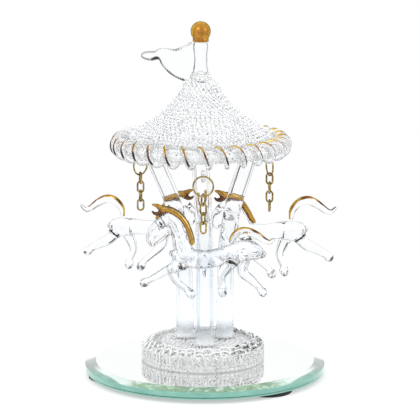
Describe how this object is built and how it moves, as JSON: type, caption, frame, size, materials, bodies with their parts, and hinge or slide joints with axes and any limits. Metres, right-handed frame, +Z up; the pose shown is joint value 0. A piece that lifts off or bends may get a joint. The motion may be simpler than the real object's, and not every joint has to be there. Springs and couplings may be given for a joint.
{
  "type": "glass carousel ornament",
  "caption": "Spun-glass carousel ornament: clear horses on flared pillars under a lace tent canopy with a gilt coiled rim and hanging chains, on a bevelled mirror.",
  "frame": {"origin": "middle of the whole ornament, on the surface that it stands on", "axes": "+Z up the mast, -Y towards the front, +X to the right seen from the front"},
  "size_m": [0.1091, 0.1, 0.148],
  "materials": {
    "mirror": "silvered float glass, bevelled edge",
    "backing": "painted backing",
    "pad": "dull",
    "clear_glass": "fire polished",
    "spun_glass": "fine looped rods, whitish",
    "gilt_glass": "gilded glass rod",
    "gilt": "bright gilt"
  },
  "bodies": {
    "carousel": {"base_disc": "spun_glass", "base_roll": "spun_glass", "canopy_rim": "clear_glass", "canopy_shell": "spun_glass", "canopy_trim": "gilt_glass", "eyelet_1": "clear_glass", "eyelet_2": "clear_glass", "eyelet_3": "clear_glass", "finial_ball": "gilt", "finial_collar": "clear_glass", "finial_mast": "clear_glass", "foot_pad_1": "pad", "foot_pad_2": "pad", "foot_pad_3": "pad", "horse_1_body": "clear_glass", "horse_1_mane": "gilt_glass", "horse_1_tail": "gilt_glass", "horse_2_body": "clear_glass", "horse_2_mane": "gilt_glass", "horse_2_tail": "gilt_glass", "horse_3_body": "clear_glass", "horse_3_mane": "gilt_glass", "horse_3_tail": "gilt_glass", "mirror_backing": "backing", "mirror_glass": "mirror", "pennant": "clear_glass", "pillar_1": "clear_glass", "pillar_2": "clear_glass", "pillar_3": "clear_glass"},
    "chain_1_link_1": {"chain_1_link_1": "gilt"},
    "chain_1_link_2": {"chain_1_link_2": "gilt"},
    "chain_1_link_3": {"chain_1_link_3": "gilt"},
    "chain_1_link_4": {"chain_1_link_4": "gilt"},
    "chain_1_ring": {"chain_1_ring": "gilt"},
    "chain_2_link_1": {"chain_2_link_1": "gilt"},
    "chain_2_link_2": {"chain_2_link_2": "gilt"},
    "chain_2_link_3": {"chain_2_link_3": "gilt"},
    "chain_2_link_4": {"chain_2_link_4": "gilt"},
    "chain_2_ring": {"chain_2_ring": "gilt"},
    "chain_3_link_1": {"chain_3_link_1": "gilt"},
    "chain_3_link_2": {"chain_3_link_2": "gilt"},
    "chain_3_link_3": {"chain_3_link_3": "gilt"},
    "chain_3_link_4": {"chain_3_link_4": "gilt"},
    "chain_3_ring": {"chain_3_ring": "gilt"}
  },
  "joints": [
    {"name": "chain_1_ring_swing", "type": "hinge", "parent": "carousel", "child": "chain_1_ring", "pos_m": [-0.00212, -0.03098, 0.08775], "axis": [0, 1, 0], "range_deg": [-25, 25]},
    {"name": "chain_1_link_1_swing", "type": "hinge", "parent": "chain_1_ring", "child": "chain_1_link_1", "pos_m": [-0.00212, -0.03098, 0.0812], "axis": [-0.866, 0.5, 0], "range_deg": [-25, 25]},
    {"name": "chain_1_link_2_swing", "type": "hinge", "parent": "chain_1_link_1", "child": "chain_1_link_2", "pos_m": [-0.00212, -0.03098, 0.07745], "axis": [-0.5, -0.866, 0], "range_deg": [-25, 25]},
    {"name": "chain_1_link_3_swing", "type": "hinge", "parent": "chain_1_link_2", "child": "chain_1_link_3", "pos_m": [-0.00212, -0.03098, 0.07365], "axis": [0.866, -0.5, 0], "range_deg": [-25, 25]},
    {"name": "chain_1_link_4_swing", "type": "hinge", "parent": "chain_1_link_3", "child": "chain_1_link_4", "pos_m": [-0.00212, -0.03098, 0.06985], "axis": [0.5, 0.866, 0], "range_deg": [-25, 25]},
    {"name": "chain_2_ring_swing", "type": "hinge", "parent": "carousel", "child": "chain_2_ring", "pos_m": [0.0255, 0.01526, 0.08775], "axis": [-0.9455, -0.3256, 0], "range_deg": [-25, 25]},
    {"name": "chain_2_link_1_swing", "type": "hinge", "parent": "chain_2_ring", "child": "chain_2_link_1", "pos_m": [0.0255, 0.01526, 0.0812], "axis": [-0.1908, -0.9816, 0], "range_deg": [-25, 25]},
    {"name": "chain_2_link_2_swing", "type": "hinge", "parent": "chain_2_link_1", "child": "chain_2_link_2", "pos_m": [0.0255, 0.01526, 0.07745], "axis": [0.9816, -0.1908, 0], "range_deg": [-25, 25]},
    {"name": "chain_2_link_3_swing", "type": "hinge", "parent": "chain_2_link_2", "child": "chain_2_link_3", "pos_m": [0.0255, 0.01526, 0.07365], "axis": [0.1908, 0.9816, 0], "range_deg": [-25, 25]},
    {"name": "chain_2_link_4_swing", "type": "hinge", "parent": "chain_2_link_3", "child": "chain_2_link_4", "pos_m": [0.0255, 0.01526, 0.06985], "axis": [-0.9816, 0.1908, 0], "range_deg": [-25, 25]},
    {"name": "chain_3_ring_swing", "type": "hinge", "parent": "carousel", "child": "chain_3_ring", "pos_m": [-0.02849, 0.01706, 0.08775], "axis": [0.7431, -0.6691, 0], "range_deg": [-25, 25]},
    {"name": "chain_3_link_1_swing", "type": "hinge", "parent": "chain_3_ring", "child": "chain_3_link_1", "pos_m": [-0.02849, 0.01706, 0.0812], "axis": [0.9511, 0.309, 0], "range_deg": [-25, 25]},
    {"name": "chain_3_link_2_swing", "type": "hinge", "parent": "chain_3_link_1", "child": "chain_3_link_2", "pos_m": [-0.02849, 0.01706, 0.07745], "axis": [-0.309, 0.9511, 0], "range_deg": [-25, 25]},
    {"name": "chain_3_link_3_swing", "type": "hinge", "parent": "chain_3_link_2", "child": "chain_3_link_3", "pos_m": [-0.02849, 0.01706, 0.07365], "axis": [-0.9511, -0.309, 0], "range_deg": [-25, 25]},
    {"name": "chain_3_link_4_swing", "type": "hinge", "parent": "chain_3_link_3", "child": "chain_3_link_4", "pos_m": [-0.02849, 0.01706, 0.06985], "axis": [0.309, -0.9511, 0], "range_deg": [-25, 25]}
  ]
}
